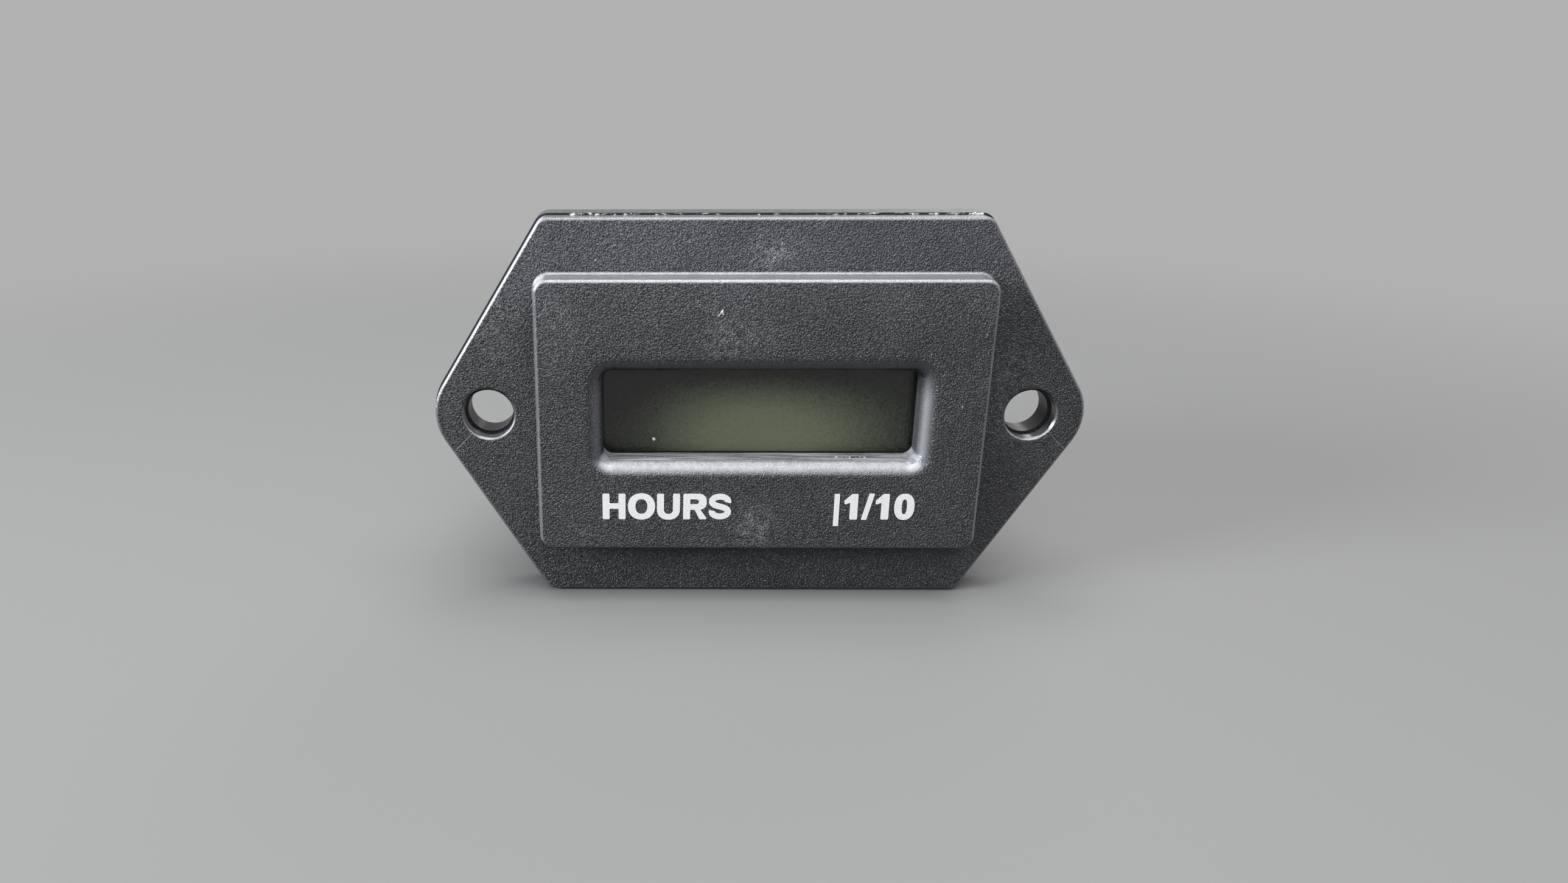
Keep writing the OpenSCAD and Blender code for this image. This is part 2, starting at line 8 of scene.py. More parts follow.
# %% Load the solids and keep their box
import json
import math
import random
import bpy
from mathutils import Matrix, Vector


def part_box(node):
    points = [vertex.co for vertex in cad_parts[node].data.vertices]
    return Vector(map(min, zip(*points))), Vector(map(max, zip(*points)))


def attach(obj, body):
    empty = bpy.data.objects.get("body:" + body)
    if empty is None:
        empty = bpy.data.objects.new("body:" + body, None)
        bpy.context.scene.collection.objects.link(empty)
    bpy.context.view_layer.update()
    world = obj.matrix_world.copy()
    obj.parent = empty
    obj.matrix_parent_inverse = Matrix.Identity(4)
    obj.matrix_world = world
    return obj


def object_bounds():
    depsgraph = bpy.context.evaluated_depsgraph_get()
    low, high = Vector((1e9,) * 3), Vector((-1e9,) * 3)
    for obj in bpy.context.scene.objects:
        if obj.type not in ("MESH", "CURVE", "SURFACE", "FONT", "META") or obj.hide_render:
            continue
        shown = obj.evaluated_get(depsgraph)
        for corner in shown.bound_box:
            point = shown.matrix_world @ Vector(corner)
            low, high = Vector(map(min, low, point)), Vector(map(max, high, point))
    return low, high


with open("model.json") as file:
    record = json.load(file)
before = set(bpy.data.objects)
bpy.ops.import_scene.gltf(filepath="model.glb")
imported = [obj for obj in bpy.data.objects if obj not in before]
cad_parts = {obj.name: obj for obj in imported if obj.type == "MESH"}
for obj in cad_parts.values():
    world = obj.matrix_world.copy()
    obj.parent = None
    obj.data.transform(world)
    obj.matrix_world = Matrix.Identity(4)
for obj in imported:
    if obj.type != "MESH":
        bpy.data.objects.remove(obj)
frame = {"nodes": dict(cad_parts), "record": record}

from types import SimpleNamespace

import bmesh
import bpy
from mathutils import Euler, Matrix, Vector, noise

solids_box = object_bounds()
print("solids:", len(frame["nodes"]))
print("their box:", [tuple(round(v, 5) for v in corner) for corner in solids_box])

# %% [markdown]
# ## The few places that everything else hangs on
# A finish or a print has to know where the meter's own features lie. Measuring them from the solids
# keeps the looks in place if a size changes; only what no box can tell, such as the window's corner,
# is written down here. The scene counts in metres, while a small instrument is easier to think of in
# millimetres, so one factor turns the second into the first.

# %% Planes and sizes of the front
MM = 0.001
bezel_low, bezel_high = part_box("front_bezel")
_, case_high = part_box("rear_case")
lens_low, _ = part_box("window_lens")
face_plane = bezel_low.y / MM
joint_plane = bezel_high.y / MM
flange_top = bezel_high.z / MM
lens_plane = lens_low.y / MM
floor_height = solids_box[0].z
screw_holes = frame["record"]["mounts"][0]["dims"]
hole_spacing, case_hole, hole_ledge = screw_holes["spacing_x_mm"], screw_holes["hole_r_mm"], 0.2
bezel_hole = case_hole + hole_ledge
window_width, window_height, window_lift = 29.3, 8.6, 0.4
window_corner, window_roll = 0.95, 1.37
window_foot = window_lift - window_height / 2
print("planes in mm: face", round(face_plane, 2), "lens", round(lens_plane, 2), "joint",
      round(joint_plane, 2), "case back", round(case_high.y / MM, 2))
print("screw holes", hole_spacing, "mm apart")

# %% [markdown]
# ## The camera
# The view is a close one, from a little above and left of the middle, with the meter to the right of
# the lens axis. Aiming the camera at the meter would change the way its edges run together, so the
# camera keeps the angle it was held at and the film is shifted sideways instead.

# %% Camera
camera_data = bpy.data.cameras.new("close_view")
camera_data.lens = 24.83
camera_data.sensor_width = 36
camera_data.shift_x = 0.0976
camera_data.clip_start = 0.005
camera = bpy.data.objects.new("close_view", camera_data)
camera.location = Vector((-11.02, -100.67, 31.58)) * MM
camera.rotation_euler = [math.radians(turn) for turn in (70.485, 0.139, 0.541)]
bpy.context.scene.collection.objects.link(camera)
bpy.context.scene.camera = camera
bpy.context.scene.view_settings.view_transform = "Standard"
print("camera", round(camera.location.length / MM), "mm from the meter")

# %% [markdown]
# ## A toolbox for finishes
# Every finish here is a small network of shader nodes. Written out node by node such a network is long
# and hard to read, so this class keeps the material and its tree together and gives each kind of node
# one short name. Anything may be fed with a plain number or with what another node puts out.

# %% A finish and its short words
class Finish:
    """One material in the making, with short words for the nodes it is mixed from."""

    def __init__(self, name, **plain):
        self.material = bpy.data.materials.new(name)
        self.material.use_nodes = True
        self.tree = self.material.node_tree
        self.surface = self.tree.nodes["Principled BSDF"]
        self.output = self.tree.nodes["Material Output"]
        for socket, value in plain.items():
            self.set(socket.replace("_", " "), value)

    def feed(self, socket, value):
        """Puts a plain value on a socket, or links another node's output to it."""
        if isinstance(value, bpy.types.NodeSocket):
            self.tree.links.new(value, socket)
        else:
            socket.default_value = value

    def set(self, socket, value):
        """Feeds one socket of the surface shader."""
        self.feed(self.surface.inputs[socket], value)

    def node(self, kind, inputs=None, **settings):
        """Adds a node, sets its options and feeds its inputs by name or number."""
        made = self.tree.nodes.new(kind)
        for option, value in settings.items():
            setattr(made, option, value)
        for socket, value in (inputs or {}).items():
            self.feed(made.inputs[socket], value)
        return made

    def math(self, operation, *values):
        """One sum on plain numbers."""
        return self.node("ShaderNodeMath", dict(enumerate(values)), operation=operation).outputs[0]

    def times(self, first, *others):
        """All the values multiplied together."""
        for value in others:
            first = self.math("MULTIPLY", first, value)
        return first

    def most(self, first, *others):
        """The largest of the values."""
        for value in others:
            first = self.math("MAXIMUM", first, value)
        return first

    def vector(self, operation, *values):
        """One sum on vectors, where LENGTH and the like put out a number."""
        made = self.node("ShaderNodeVectorMath", dict(enumerate(values)), operation=operation)
        return made.outputs["Value" if operation in ("LENGTH", "DISTANCE", "DOT_PRODUCT") else "Vector"]

    def millimetres(self):
        """The place on the object, in millimetres of the shared frame."""
        place = self.node("ShaderNodeTexCoord").outputs["Object"]
        return self.vector("MULTIPLY", place, (1 / MM, 1 / MM, 1 / MM))

    def facing(self):
        """Which way the surface looks, as its x, y and z."""
        return self.split(self.node("ShaderNodeNewGeometry").outputs["Normal"])

    def split(self, place):
        """The x, y and z of a place."""
        return self.node("ShaderNodeSeparateXYZ", {0: place}).outputs[:]

    def join(self, x=0.0, y=0.0, z=0.0):
        """A place from its x, y and z."""
        return self.node("ShaderNodeCombineXYZ", {0: x, 1: y, 2: z}).outputs[0]

    def noise(self, place, scale, detail=2.0, roughness=0.5):
        """Cloudy noise around 0.5, with about scale clouds to the millimetre."""
        inputs = {"Vector": place, "Scale": scale, "Detail": detail, "Roughness": roughness}
        return self.node("ShaderNodeTexNoise", inputs).outputs["Fac"]

    def ease(self, value, low, high, at_low=0.0, at_high=1.0):
        """Runs softly from at_low to at_high while value goes from low to high."""
        inputs = {"Value": value, "From Min": low, "From Max": high, "To Min": at_low, "To Max": at_high}
        return self.node("ShaderNodeMapRange", inputs, interpolation_type="SMOOTHSTEP").outputs[0]

    def tint(self, amount, first, second):
        """A colour between two others."""
        return self.node("ShaderNodeMix", {0: amount, 6: first, 7: second}, data_type="RGBA").outputs[2]

    def grey(self, value):
        """A colour with the same value in each channel."""
        return self.node("ShaderNodeCombineColor", {0: value, 1: value, 2: value}).outputs[0]

    def relief(self, height, depth, over=None):
        """A surface raised by up to depth millimetres where height is 1."""
        inputs = {"Height": height, "Distance": depth * MM, "Strength": 1.0}
        if over is not None:
            inputs["Normal"] = over
        return self.node("ShaderNodeBump", inputs).outputs["Normal"]

    def outside(self, x, z, width, height, lift, corner):
        """Millimetres outside a rounded rectangle on the front, from x and z."""
        across = self.math("SUBTRACT", self.math("ABSOLUTE", x), width / 2 - corner)
        lifted = self.math("ABSOLUTE", self.math("SUBTRACT", z, lift))
        up = self.math("SUBTRACT", lifted, height / 2 - corner)
        reach = self.join(self.most(across, 0.0), self.most(up, 0.0))
        return self.math("SUBTRACT", self.vector("LENGTH", reach), corner)

    def from_holes(self, x, z):
        """Millimetres from the axis of the nearer screw hole."""
        across = self.math("SUBTRACT", self.math("ABSOLUTE", x), hole_spacing / 2)
        return self.vector("LENGTH", self.join(across, z))

    def from_line(self, x, z, start, end):
        """Millimetres from a straight mark on the front."""
        along = Vector(end) - Vector(start)
        spot = self.vector("SUBTRACT", self.join(x, z), (*start, 0.0))
        share = self.vector("DOT_PRODUCT", spot, (*(along / along.length_squared), 0.0))
        share = self.node("ShaderNodeClamp", {0: share}).outputs[0]
        nearest = self.vector("MULTIPLY", self.join(share, share), (*along, 0.0))
        return self.vector("DISTANCE", spot, nearest)

    def from_spot(self, x, z, centre, stretch=(1.0, 1.0)):
        """Distance from a spot on the front, in units of its stretch."""
        spot = self.vector("SUBTRACT", self.join(x, z), (*centre, 0.0))
        return self.vector("LENGTH", self.vector("DIVIDE", spot, (*stretch, 1.0)))


print("toolbox ready")

# %% [markdown]
# ## Floor and backdrop
# A plain pale sheet carries the meter and sweeps up behind it, so that no line shows where the floor
# ends. A flat plane would do for one view only. The sheet is one profile drawn out sideways. Close to
# the meter it takes real light and shadow; further out it fades to one even tone of its own.

# %% Swept sheet
sheet_front, sheet_back, sheet_bend, sheet_top, sheet_half_width = -0.9, 0.55, 0.3, 1.1, 1.3
bend_steps = 12
profile = [(sheet_front, 0.0)]
for step in range(bend_steps + 1):
    turn = math.radians(90 * step / bend_steps)
    profile.append((sheet_back + sheet_bend * math.sin(turn), sheet_bend * (1 - math.cos(turn))))
profile.append((sheet_back + sheet_bend, sheet_top))
sheet_mesh = bpy.data.meshes.new("backdrop_sheet")
corners = [(side * sheet_half_width, y, floor_height + z) for y, z in profile for side in (-1, 1)]
quads = [(2 * row, 2 * row + 1, 2 * row + 3, 2 * row + 2) for row in range(len(profile) - 1)]
sheet_mesh.from_pydata(corners, [], quads)
sheet_mesh.polygons.foreach_set("use_smooth", [True] * len(quads))
sheet = bpy.data.objects.new("backdrop_sheet", sheet_mesh)
bpy.context.scene.collection.objects.link(sheet)
print("sheet of", len(quads), "strips under the meter at", round(floor_height / MM, 2), "mm")

# %% Pale paper for the sheet
sheet_tone, fade_start, fade_end = (0.44, 0.44, 0.44, 1.0), 70.0, 230.0


def pale_paper():
    """Matt paper that takes shadow near the meter and is an even tone far from it."""
    finish = Finish("pale_paper", Roughness=0.9, Specular_IOR_Level=0.0)
    finish.set("Base Color", (0.26, 0.26, 0.26, 1.0))
    x, y, _ = finish.split(finish.millimetres())
    far = finish.ease(finish.vector("LENGTH", finish.join(x, y)), fade_start, fade_end)
    path = finish.node("ShaderNodeLightPath").outputs
    seen = finish.most(path["Is Camera Ray"], path["Is Glossy Ray"], path["Is Transmission Ray"])
    glow = finish.node("ShaderNodeEmission", {"Color": sheet_tone, "Strength": 1.0}).outputs[0]
    fade = finish.times(far, seen)
    mixed = finish.node("ShaderNodeMixShader", {0: fade, 1: finish.surface.outputs[0], 2: glow})
    finish.feed(finish.output.inputs["Surface"], mixed.outputs[0])
    return finish.material


sheet_mesh.materials.append(pale_paper())
print("sheet finish:", sheet_mesh.materials[0].name)

# %% [markdown]
# ## Light
# Black plastic shows mostly what it mirrors, so the lamps are placed by the gleams they give. A soft
# box overhead draws the bright lines on every edge that looks up and on the lower roll of the window.
# A small bright one at the left, low down, brightens the left edges and grazes the grain. Weak ones
# in front and behind lift the printed words and the back of the case. Each is given the brightness of
# its surface, not its power, because brightness is what a gleam shows. The sky is weak and even, and
# the camera sees it in the tone of the sheet, so that no dark horizon shows above the sheet's end.

# %% Soft boxes and sky
def soft_box(name, centre, aim, width, height, brightness, colour=(1.0, 1.0, 1.0)):
    """A rectangular lamp at centre that faces aim, whose surface has the given brightness."""
    data = bpy.data.lights.new(name, "AREA")
    data.shape = "RECTANGLE"
    data.size, data.size_y = width, height
    data.energy = brightness * math.pi * width * height
    data.color = colour
    lamp = bpy.data.objects.new(name, data)
    lamp.location = centre
    lamp.rotation_euler = (Vector(aim) - Vector(centre)).to_track_quat("-Z", "Y").to_euler()
    bpy.context.scene.collection.objects.link(lamp)
    print(name, "power", round(data.energy, 2), "W")


meter_middle = (0, 0, 0)
soft_box("overhead_box", (0.02, -0.03, 0.42), meter_middle, 0.34, 0.40, 5.5)
soft_box("left_box", (-0.42, -0.18, 0.15), meter_middle, 0.18, 0.16, 24.0, (0.95, 0.98, 1.0))
soft_box("front_box", (0.02, -0.38, 0.32), meter_middle, 0.34, 0.24, 2.6)
soft_box("rear_box", (0.24, 0.42, 0.30), meter_middle, 0.30, 0.26, 2.4)


def soft_sky():
    """A weak even sky that gives light, which the camera sees in the tone of the sheet."""
    sky = bpy.data.worlds.new("soft_sky")
    sky.use_nodes = True
    tree = sky.node_tree
    lit, seen = tree.nodes["Background"], tree.nodes.new("ShaderNodeBackground")
    lit.inputs["Color"].default_value = (0.94, 0.97, 1.0, 1.0)
    lit.inputs["Strength"].default_value = 0.15
    seen.inputs["Color"].default_value = sheet_tone
    path, mixed = tree.nodes.new("ShaderNodeLightPath"), tree.nodes.new("ShaderNodeMixShader")
    tree.links.new(path.outputs["Is Camera Ray"], mixed.inputs[0])
    tree.links.new(lit.outputs[0], mixed.inputs[1])
    tree.links.new(seen.outputs[0], mixed.inputs[2])
    tree.links.new(mixed.outputs[0], tree.nodes["World Output"].inputs["Surface"])
    return sky


bpy.context.scene.world = soft_sky()
print("sky:", bpy.context.scene.world.name)

# %% [markdown]
# ## Finding places on the front
# The front's finish changes from place to place: grain on the flats, polish on the edges, dust and
# painted overhead light on what looks up. A painted mask would need an image, so the shader works the
# places out by itself, from where a point lies and which way it faces. The same few measures serve
# every step that follows.

# %% Places on the front
def front_places(finish):
    """Where a point of the front lies, in millimetres, which way it faces, and if it is on an edge."""
    place = finish.millimetres()
    x, _, z = finish.split(place)
    facing_x, facing_y, facing_z = finish.facing()
    from_window = finish.outside(x, z, window_width, window_height, window_lift, window_corner)
    off_roll = finish.ease(from_window, window_roll, window_roll + 0.4)
    edge = finish.times(finish.ease(facing_y, -0.997, -0.92), off_roll)
    return SimpleNamespace(place=place, x=x, z=z, facing_x=facing_x, facing_z=facing_z, edge=edge,
                           from_window=from_window, from_hole=finish.from_holes(x, z))


print("window", window_width, "by", window_height, "mm, bezel holes", round(2 * bezel_hole, 2), "mm wide")

# %% [markdown]
# ## The front moulding's grain
# The bezel comes out of a steel mould whose face was eroded by sparks, which leaves a fine grain like
# leather on the plastic, about a sixth of a millimetre across. Modelling it would take millions of
# faces, so it is a bump made of two noises, wandering ridges and finer pits. Noise that is cut along
# its own axes looks like a maze, so both are turned against the face first. The mould was polished at
# the window, along the edges and in the screw holes, and there the grain fades out. The plastic flowed
# round the screw holes from both sides, and a knit line shows where the flows met.

# %% Grain and the marks of moulding
grain_turn, grain_stretch, grain_depth = (0.5, 0.62, 0.4), (1.15, 1.0, 0.8), 0.32
ridges_per_mm, pits_per_mm = 6.6, 13.0
knit_lines = [((-27.1, -1.9), (-29.4, -4.3)), ((27.5, -1.9), (29.3, -3.7))]
face_scratch = ((-19.3, 11.2), (-20.2, 9.85))


def front_grain(finish, at):
    """The ridges, the pits, both together as grain, and how much of it the polish left."""
    turned = finish.node("ShaderNodeVectorRotate", {"Vector": at.place, "Rotation": grain_turn},
                         rotation_type="EULER_XYZ").outputs[0]
    ridges = finish.noise(finish.vector("MULTIPLY", turned, grain_stretch), ridges_per_mm, detail=1.0)
    pits = finish.noise(turned, pits_per_mm, detail=0.0)
    grain = finish.math("MULTIPLY_ADD", pits, 0.25, ridges)
    grained = finish.times(finish.ease(at.from_window, 0.7, 1.7, 0.12, 1.0),
                           finish.ease(at.edge, 0.0, 1.0, 1.0, 0.15),
                           finish.ease(at.from_hole, bezel_hole, bezel_hole + 0.4, 0.1, 1.0))
    return ridges, pits, grain, grained


def moulding_marks(finish, at, ridges, pits):
    """The knit line beyond each screw hole, and one scratch beside the raised face."""
    knit = finish.math("MINIMUM", *[finish.from_line(at.x, at.z, *line) for line in knit_lines])
    knit = finish.ease(finish.math("MULTIPLY_ADD", ridges, 0.06, knit), 0.05, 0.12, 1.0, 0.0)
    scratch = finish.from_line(at.x, at.z, *face_scratch)
    scratch = finish.ease(finish.math("MULTIPLY_ADD", pits, 0.1, scratch), 0.06, 0.13, 1.0, 0.0)
    return knit, scratch


print("ridges", round(1 / ridges_per_mm, 2), "mm across, pits", round(1 / pits_per_mm, 2), "mm across")

# %% [markdown]
# ## Tone, dust, wear and painted light
# Black plastic is never evenly black. The ridges of the grain are paler than the pits between them, a
# cloth leaves hazy smears, dust settles on what looks up, and handling wears the edges pale. Some light
# and shade is painted into the colour too: the grain's shading is strongest at the left, the top is
# lighter, what looks down is darker, and painted highlights lie on what looks up, on the edges and
# round the window. Marks painted on an image would be tied to one layout of the surface, so each is a
# mask from 0 to 1 that the shader works out from place and facing.

# %% Blue-black tone, painted light and wiped haze
# The last patch, right of the raised face, is partly pale dust and partly painted light over the raised
# face's shadow.
haze_and_painted_light_patches = [((0.8, 15.4), (3.4, 2.8), 1.0), ((-2.5, 8.0), (5.5, 3.0), 0.5),
              ((-0.3, -10.4), (3.0, 3.4), 0.7), ((-18.5, 8.0), (3.0, 6.0), 0.3),
              ((-25.0, 9.0), (4.0, 8.0), 0.35), ((23.6, 2.0), (3.4, 9.0), 0.35)]


def tone_with_painted_light(finish, at, grain):
    """Blue-black plastic with paler ridges, and painted light: grain shading strongest at the left, a
    lighter top, and shade where it looks down.
    """
    clouds = finish.noise(at.place, 0.16, detail=1.0)
    # Painted light: the grain's light and dark is strongest at the left, where the side lamp grazes it,
    # and weaker at the top.
    side_lit_contrast = finish.times(finish.ease(at.x, -24.0, 20.0, 1.0, 0.6),
                            finish.ease(at.z, 8.0, 16.0, 1.0, 0.6))
    lifted = finish.math("MULTIPLY_ADD", finish.ease(grain, 0.52, 0.8, -0.8, 2.4), side_lit_contrast, 1.0)
    # Painted light: lighter towards the top, and painted shade where the surface looks down.
    tone = finish.times(finish.ease(clouds, 0.25, 0.75, 0.018, 0.026), lifted,
                        finish.ease(at.z, 6.0, 16.0, 1.0, 2.5),
                        finish.ease(at.facing_z, -0.7, 0.0, 0.3, 1.0))
    return finish.vector("MULTIPLY", finish.grey(tone), (0.97, 1.0, 1.16))


def wiped_haze_and_painted_light(finish, at, grain, smear):
    """Patches of haze, each with its centre, stretch and amount, that sit on the ridges; the last one is
    partly painted light.
    """
    haze_and_painted_light = 0.0
    for centre, stretch, amount in haze_and_painted_light_patches:
        patch = finish.ease(finish.from_spot(at.x, at.z, centre, stretch), 0.1, 1.0, amount, 0.0)
        haze_and_painted_light = finish.most(patch, haze_and_painted_light)
    return finish.times(haze_and_painted_light, finish.ease(smear, 0.35, 0.7), finish.ease(grain, 0.5, 0.8, 0.3, 1.4))


print("haze patches:", len(haze_and_painted_light_patches))

# %% Specks, dust, worn edges and painted highlights
speck_cells_per_mm, largest_speck = 0.6, 0.055


def scattered_specks(finish, at):
    """A dot in some of the cells that the surface is cut into, as a share of the cell's size."""
    cells = finish.node("ShaderNodeTexVoronoi", {"Vector": at.place, "Scale": speck_cells_per_mm}).outputs
    chosen = finish.split(cells["Color"])[0]
    return finish.math("LESS_THAN", cells["Distance"], finish.ease(chosen, 0.6, 1.0, 0.0, largest_speck))


def dust_wear_and_painted_highlights(finish, at, smear):
    """Paler on what looks up, as painted overhead light and a little dust, and edges worn pale with a
    painted highlight, most on the upper left, but not in the holes.
    """
    off_hole = finish.ease(at.from_hole, bezel_hole + 0.01, bezel_hole + 0.09)
    # Painted overhead light on what looks up, laid on with the noise of a dusty film.
    dust_and_overhead_light = finish.times(finish.ease(at.facing_z, 0.15, 0.55),
                           finish.ease(at.facing_z, 0.8, 0.98, 1.0, 0.4),
                           finish.ease(smear, 0.3, 0.7, 0.4, 0.6), off_hole,
                           finish.ease(at.z, flange_top - 1.5, flange_top - 0.3, 1.0, 0.5))
    # Edges worn pale, with a painted highlight on those that face the upper left.
    upper_left_highlight = finish.times(finish.ease(at.facing_x, -0.5, -0.1, 0.6, 0.0),
                              finish.ease(at.facing_z, 0.05, 0.3))
    wear_and_highlight = finish.math("ADD", upper_left_highlight, finish.ease(at.facing_z, -0.6, 0.0, 0.0, 0.22))
    return finish.most(dust_and_overhead_light, finish.times(at.edge, wear_and_highlight, off_hole))


print("largest speck", round(2 * largest_speck / speck_cells_per_mm, 2), "mm wide")

# %% [markdown]
# ## The rubbed window edge and its painted highlights
# Fingers and cloths follow the rolled edge round the window, so it is rubbed pale, and painted
# highlights lie over the rub where the lamps catch the roll. The lower lip is pale from end to end and
# most of all at its two corners, the right side is paler than the left one and fades upwards, and fine
# drag lines run along the wall below the lens. Painted into the colour, these highlights stay where
# they are when the light moves.

# %% Lip, sides and drag lines
lip_corner, lip_corner_reach = (window_width / 2 - 0.25, window_foot - 0.6), (1.4, 1.1)


def rubbed_and_highlit_roll(finish, at, smear):
    """How pale the rolled edge round the window is: rubbed, with painted highlights on the lip and sides.
    """
    # Painted highlight along the lower lip, brightest at its two corners, over a little rub.
    lip = finish.times(finish.ease(at.z, window_foot - 0.6, window_foot + 0.6, 0.7, 0.0),
                       finish.ease(smear, 0.3, 0.7, 0.85, 1.15))
    corner = finish.from_spot(finish.math("ABSOLUTE", at.x), at.z, lip_corner, lip_corner_reach)
    corner = finish.times(finish.ease(corner, 0.3, 1.0, 1.0, 0.0), finish.ease(at.facing_z, 0.0, 0.3))
    lip = finish.times(finish.ease(at.from_window, 0.22, 0.5), finish.most(corner, lip))
    # Painted light on the side that faces left, the window's right side, which the left lamp lights, over
    # a little rub.
    side = finish.times(finish.ease(at.facing_x, -0.75, -0.1, 1.0, 0.22),
                        finish.ease(at.z, 1.6, 4.4, 0.42, 0.1),
                        finish.ease(at.from_window, -0.02, 0.4, 0.25, 1.0),
                        finish.ease(at.facing_z, -0.5, -0.1))
    rub_and_highlight = finish.times(finish.most(lip, side), finish.ease(at.from_window, 0.5, 1.5, 1.0, 0.0))
    streaks = finish.noise(finish.vector("MULTIPLY", at.place, (0.2, 5.0, 5.0)), 1.3, roughness=0.6)
    # Drag lines on the wall below the lens; their paleness is partly painted light.
    dragged = finish.times(finish.ease(at.from_window, 0.03, 0.2, 1.0, 0.0),
                           finish.ease(at.facing_z, 0.6, 0.95),
                           finish.ease(streaks, 0.38, 0.62, 0.1, 0.65))
    return finish.most(dragged, rub_and_highlight)


print("lip corners", [round(spot, 2) for spot in lip_corner], "mm from the middle")

# %% [markdown]
# ## All of it on one plastic
# Adding the marks and the painted highlights up would make a dusty edge whiter than dust. Instead the
# strongest of them at a point decides how pale the plastic is there, over a black that carries painted
# light of its own. Grain scatters light, so the polished places are a little glossier than the flats,
# and haze dulls what it covers.

# %% Grained black plastic
def bezel_plastic():
    """Black plastic with spark-eroded grain, polished edges, the marks of moulding and handling, and
    painted light.
    """
    finish = Finish("bezel_plastic")
    finish.set("Specular IOR Level", 0.75)
    at = front_places(finish)
    ridges, pits, grain, grained = front_grain(finish, at)
    knit, scratch = moulding_marks(finish, at, ridges, pits)
    height = finish.math("MULTIPLY_ADD", knit, -0.6, finish.times(grain, grained))
    finish.set("Normal", finish.relief(height, grain_depth))

    smear = finish.noise(at.place, 1.6, detail=3.0, roughness=0.7)
    haze_and_painted_light = wiped_haze_and_painted_light(finish, at, grain, smear)
    speck = scattered_specks(finish, at)
    # Dust, wear and painted highlights on what looks up, on the edges and round the window.
    pale = finish.most(dust_wear_and_painted_highlights(finish, at, smear), rubbed_and_highlit_roll(finish, at, smear))
    for mark, strength in ((speck, 0.55), (haze_and_painted_light, 0.42), (scratch, 0.3), (knit, 0.3)):
        pale = finish.most(pale, finish.times(mark, strength))
    # The black carries painted light: a lighter top and painted shade where it looks down.
    black = tone_with_painted_light(finish, at, grain)
    finish.set("Base Color", finish.tint(pale, black, (0.62, 0.64, 0.68, 1.0)))

    shine = finish.ease(grained, 0.1, 1.0, 0.2, 0.3)
    shine = finish.math("MULTIPLY_ADD", finish.math("SUBTRACT", smear, 0.5), 0.12, shine)
    finish.set("Roughness", finish.math("MULTIPLY_ADD", haze_and_painted_light, 0.15, shine))
    return finish.material


finishes = {"bezel_plastic": bezel_plastic()}
print("bezel_plastic nodes:", len(finishes["bezel_plastic"].node_tree.nodes))

# %% [markdown]
# ## The rear case's plain plastic
# The case behind the panel is seen by nobody once it is mounted, so its mould was left smooth. It is
# the same black plastic with a soft gloss, faint waves where it shrank in the mould, the fine scuffs
# that such a part picks up in a box with others, and on what looks up a little dust with painted light
# from above. Waves and scuffs this shallow would be lost in a mesh, so they are noises in the bump and
# the gloss.

# %% Smooth black plastic
def case_plastic():
    """Smooth black plastic with shrink waves, fine scuffs, and paler where it looks up, as a little dust
    and painted light from above.
    """
    finish = Finish("case_plastic")
    finish.set("Specular IOR Level", 0.5)
    place = finish.millimetres()
    waves = finish.noise(place, 0.12, detail=2.0)
    dimples = finish.noise(place, 2.4, detail=3.0, roughness=0.6)
    scuff_place = finish.vector("MULTIPLY", place, (0.5, 2.6, 0.5))
    scuffs = finish.ease(finish.noise(scuff_place, 1.2, detail=5.0, roughness=0.75), 0.58, 0.75)
    x, _, z = finish.split(place)
    facing_z = finish.facing()[2]
    off_hole = finish.ease(finish.from_holes(x, z), case_hole + 0.05, case_hole + 0.45)
    uneven = finish.ease(dimples, 0.3, 0.7, 0.08, 0.22)
    # Painted light from above with a little dust, on what looks up.
    dust_and_overhead_light = finish.times(finish.ease(facing_z, 0.3, 0.9), uneven, off_hole)
    pale = finish.most(dust_and_overhead_light, finish.times(scuffs, 0.12))
    finish.set("Base Color", finish.tint(pale, (0.024, 0.024, 0.026, 1.0), (0.5, 0.5, 0.52, 1.0)))
    gloss = finish.ease(waves, 0.3, 0.7, 0.3, 0.4)
    finish.set("Roughness", finish.math("MULTIPLY_ADD", scuffs, 0.2, gloss))
    finish.set("Normal", finish.relief(dimples, 0.004, finish.relief(waves, 0.05)))
    return finish.material


finishes["case_plastic"] = case_plastic()
print("case_plastic nodes:", len(finishes["case_plastic"].node_tree.nodes))

# %% [markdown]
# ## The window and the display behind it
# What looks like one dark green window is a clear moulded lens with a display cell close behind it:
# a polarising film, two sheets of glass and a silvery film. A lens of pure glass shader would throw a
# hard shadow on the display, which the real one doesn't, so shadow rays pass straight through it.

# %% Clear lens and display glass
def clear_sheet(name, colour, refraction, roughness):
    """See-through plastic or glass that bends light and throws no shadow of its own."""
    finish = Finish(name)
    finish.set("Transmission Weight", 1.0)
    finish.set("IOR", refraction)
    finish.set("Base Color", colour)
    wiped = finish.vector("MULTIPLY", finish.millimetres(), (0.25, 1.0, 1.2))
    wipe = finish.noise(wiped, 1.6, detail=4.0, roughness=0.65)
    finish.set("Roughness", finish.ease(wipe, 0.35, 0.75, roughness, roughness + 0.05))
    finish.set("Normal", finish.relief(wipe, 0.0012))
    path = finish.node("ShaderNodeLightPath").outputs
    clear = finish.node("ShaderNodeBsdfTransparent", {"Color": colour}).outputs[0]
    mixed = finish.node("ShaderNodeMixShader", {
        0: path["Is Shadow Ray"], 1: finish.surface.outputs[0], 2: clear})
    finish.feed(finish.output.inputs["Surface"], mixed.outputs[0])
    return finish.material


